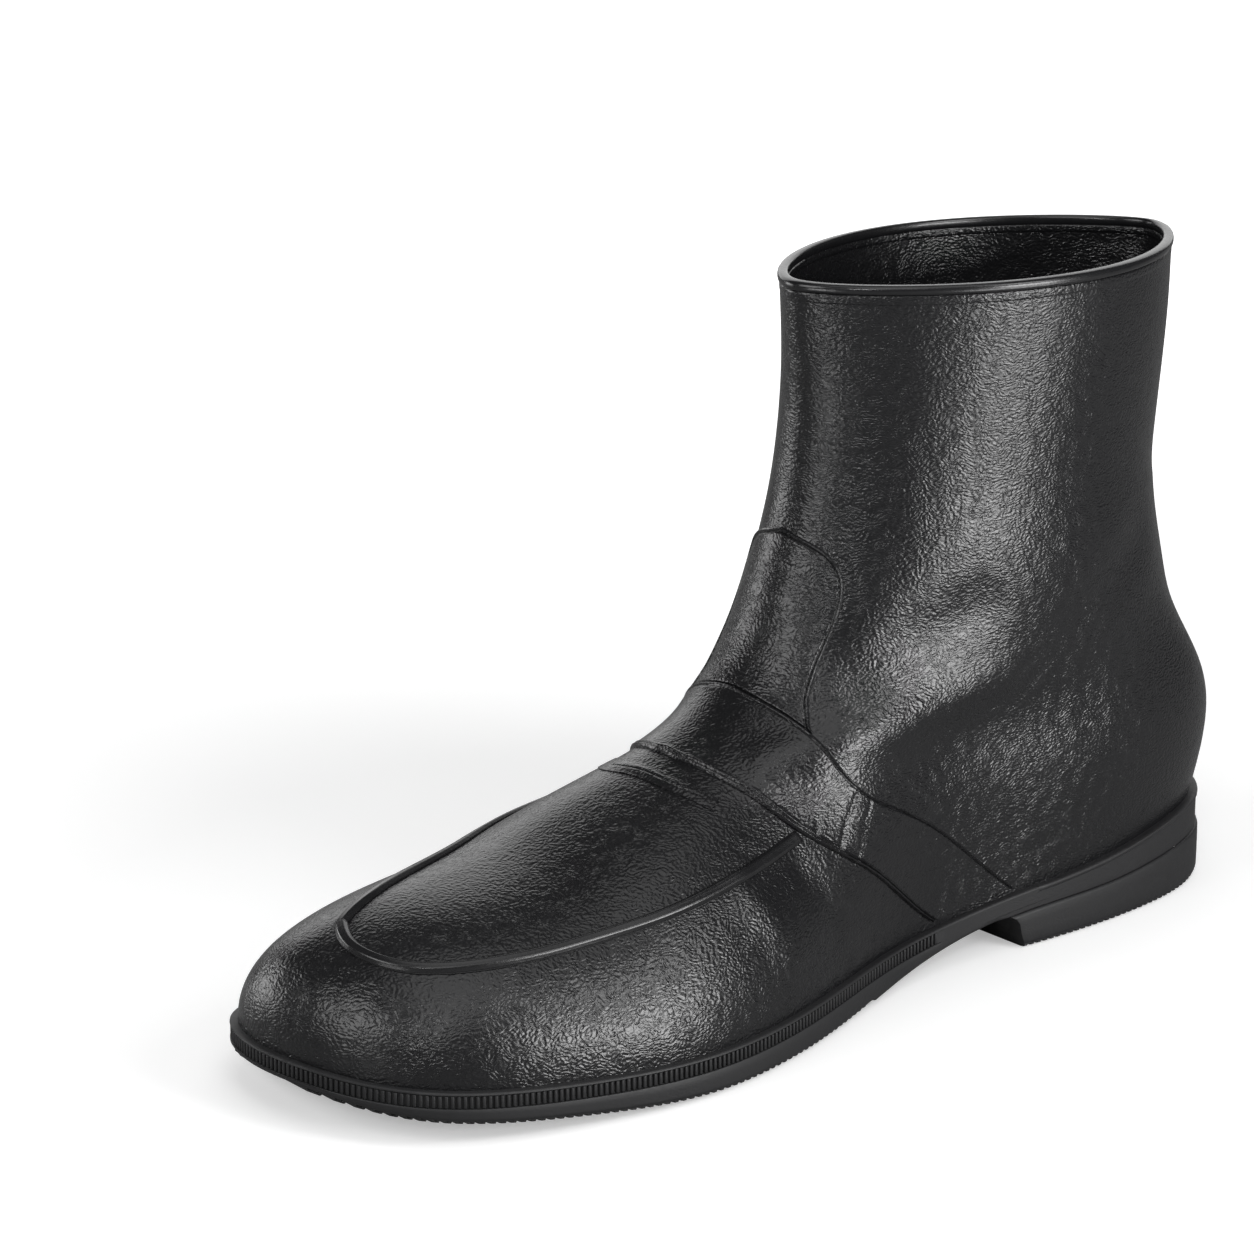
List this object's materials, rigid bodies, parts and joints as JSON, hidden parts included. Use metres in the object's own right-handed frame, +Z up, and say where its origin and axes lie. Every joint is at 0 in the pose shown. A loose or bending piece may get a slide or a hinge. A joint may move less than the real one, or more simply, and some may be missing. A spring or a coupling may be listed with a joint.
{
  "type": "overshoe",
  "caption": "Ankle-high moulded overshoe with an open shaft, instep saddle, raised apron seam, ribbed welt and a low heel.",
  "frame": {"origin": "bottom centre of the overshoe's bounding box, on the floor", "axes": "+Z up, the toe points to -Y, and +X is the outer side of a left foot"},
  "size_m": [0.108, 0.314, 0.1841],
  "materials": {
    "upper_rubber": "satin black moulded rubber with a fine leather grain",
    "trim_rubber": "smooth satin black rubber",
    "sole_rubber": "matt black rubber"
  },
  "bodies": {
    "root": {"upper": "upper_rubber", "saddle_strap": "upper_rubber", "tongue_panel": "upper_rubber", "apron_piping": "trim_rubber", "seam_tape": "trim_rubber", "rim_binding": "trim_rubber", "welt_strip": "sole_rubber", "heel_lip": "sole_rubber", "outsole": "sole_rubber", "heel_block": "sole_rubber"}
  },
  "joints": []
}
